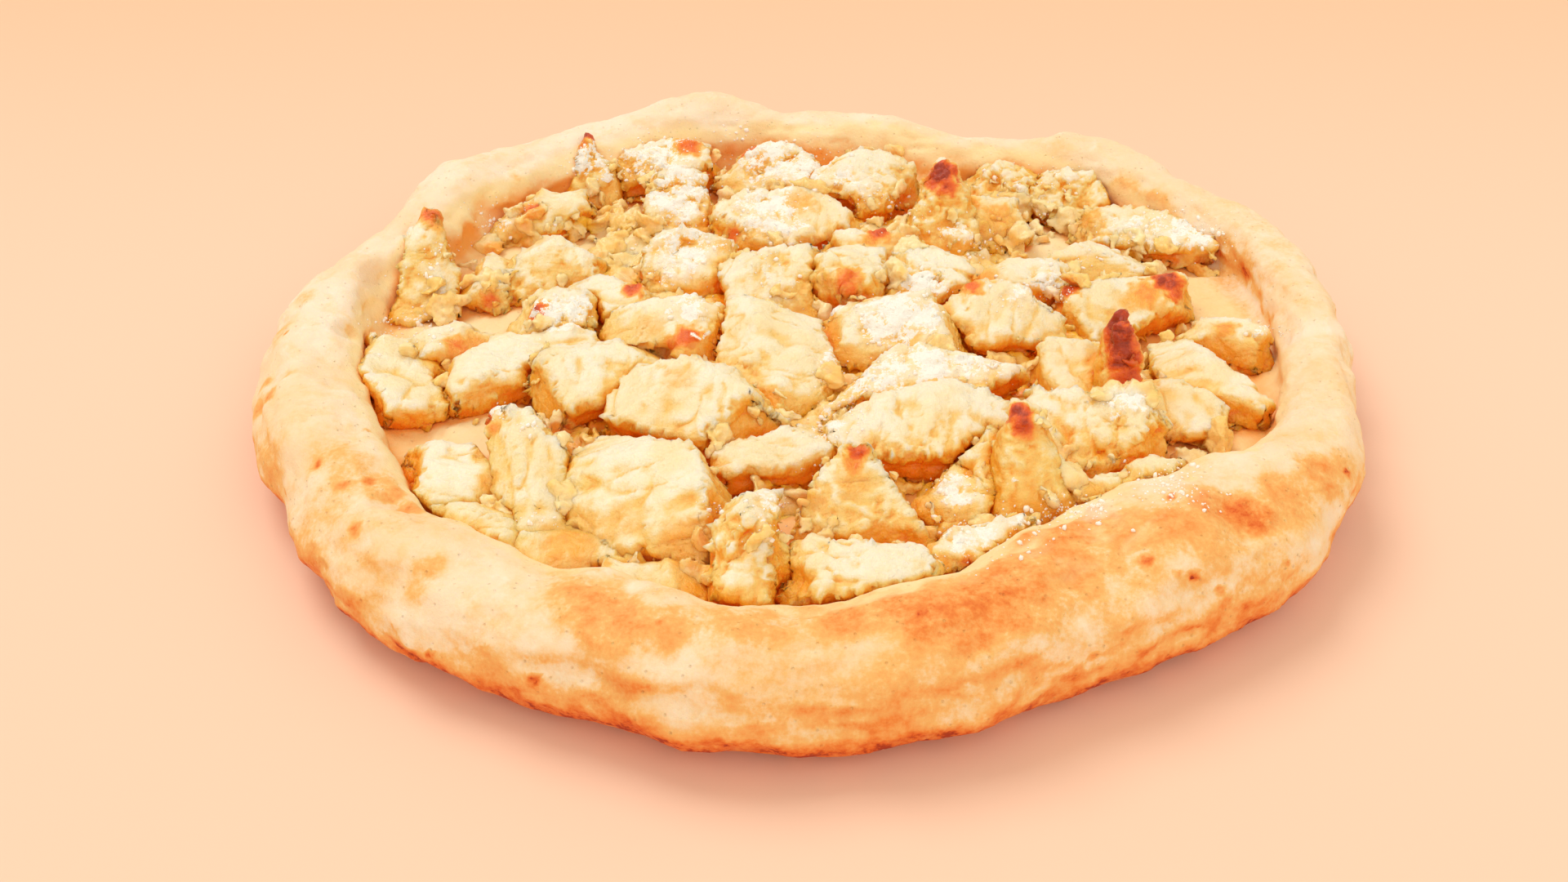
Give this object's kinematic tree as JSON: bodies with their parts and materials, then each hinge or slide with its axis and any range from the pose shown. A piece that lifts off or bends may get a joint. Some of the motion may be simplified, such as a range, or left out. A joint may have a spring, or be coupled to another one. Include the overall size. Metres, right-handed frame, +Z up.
{
  "type": "open apple tart",
  "caption": "Round open apple tart: thick hand-rolled yeast-dough rim around a heap of baked, lightly browned apple slices dusted with flour.",
  "frame": {"origin": "on the table, under the middle of the tart's outline", "axes": "+Z up; -Y is the front, towards the picture's viewer; +X to the viewer's right"},
  "size_m": [0.279, 0.276, 0.0381],
  "materials": {
    "baked_dough": "satin",
    "cooked_apple": "gloss",
    "baked_apple": "satin"
  },
  "bodies": {
    "root": {"crust": "baked_dough", "apple_bed": "cooked_apple", "apple_01": "baked_apple", "apple_02": "baked_apple", "apple_03": "baked_apple", "apple_04": "baked_apple", "apple_05": "baked_apple", "apple_06": "baked_apple", "apple_07": "baked_apple", "apple_08": "baked_apple", "apple_09": "baked_apple", "apple_10": "baked_apple", "apple_11": "baked_apple", "apple_12": "baked_apple", "apple_13": "baked_apple", "apple_14": "baked_apple", "apple_15": "baked_apple", "apple_16": "baked_apple", "apple_17": "baked_apple", "apple_18": "baked_apple", "apple_19": "baked_apple", "apple_20": "baked_apple", "apple_21": "baked_apple", "apple_22": "baked_apple", "apple_23": "baked_apple", "apple_24": "baked_apple", "apple_25": "baked_apple", "apple_26": "baked_apple", "apple_27": "baked_apple", "apple_28": "baked_apple", "apple_29": "baked_apple", "apple_30": "baked_apple", "apple_31": "baked_apple", "apple_32": "baked_apple", "apple_33": "baked_apple", "apple_34": "baked_apple", "apple_35": "baked_apple", "apple_36": "baked_apple", "apple_37": "baked_apple", "apple_38": "baked_apple", "apple_39": "baked_apple", "apple_40": "baked_apple", "apple_41": "baked_apple", "apple_42": "baked_apple", "apple_43": "baked_apple", "apple_44": "baked_apple", "apple_45": "baked_apple", "apple_46": "baked_apple", "apple_47": "baked_apple", "apple_48": "baked_apple", "apple_49": "baked_apple", "apple_50": "baked_apple", "apple_51": "baked_apple", "apple_52": "baked_apple", "apple_53": "baked_apple", "apple_54": "baked_apple", "apple_55": "baked_apple", "apple_56": "baked_apple", "apple_57": "baked_apple"}
  },
  "joints": []
}
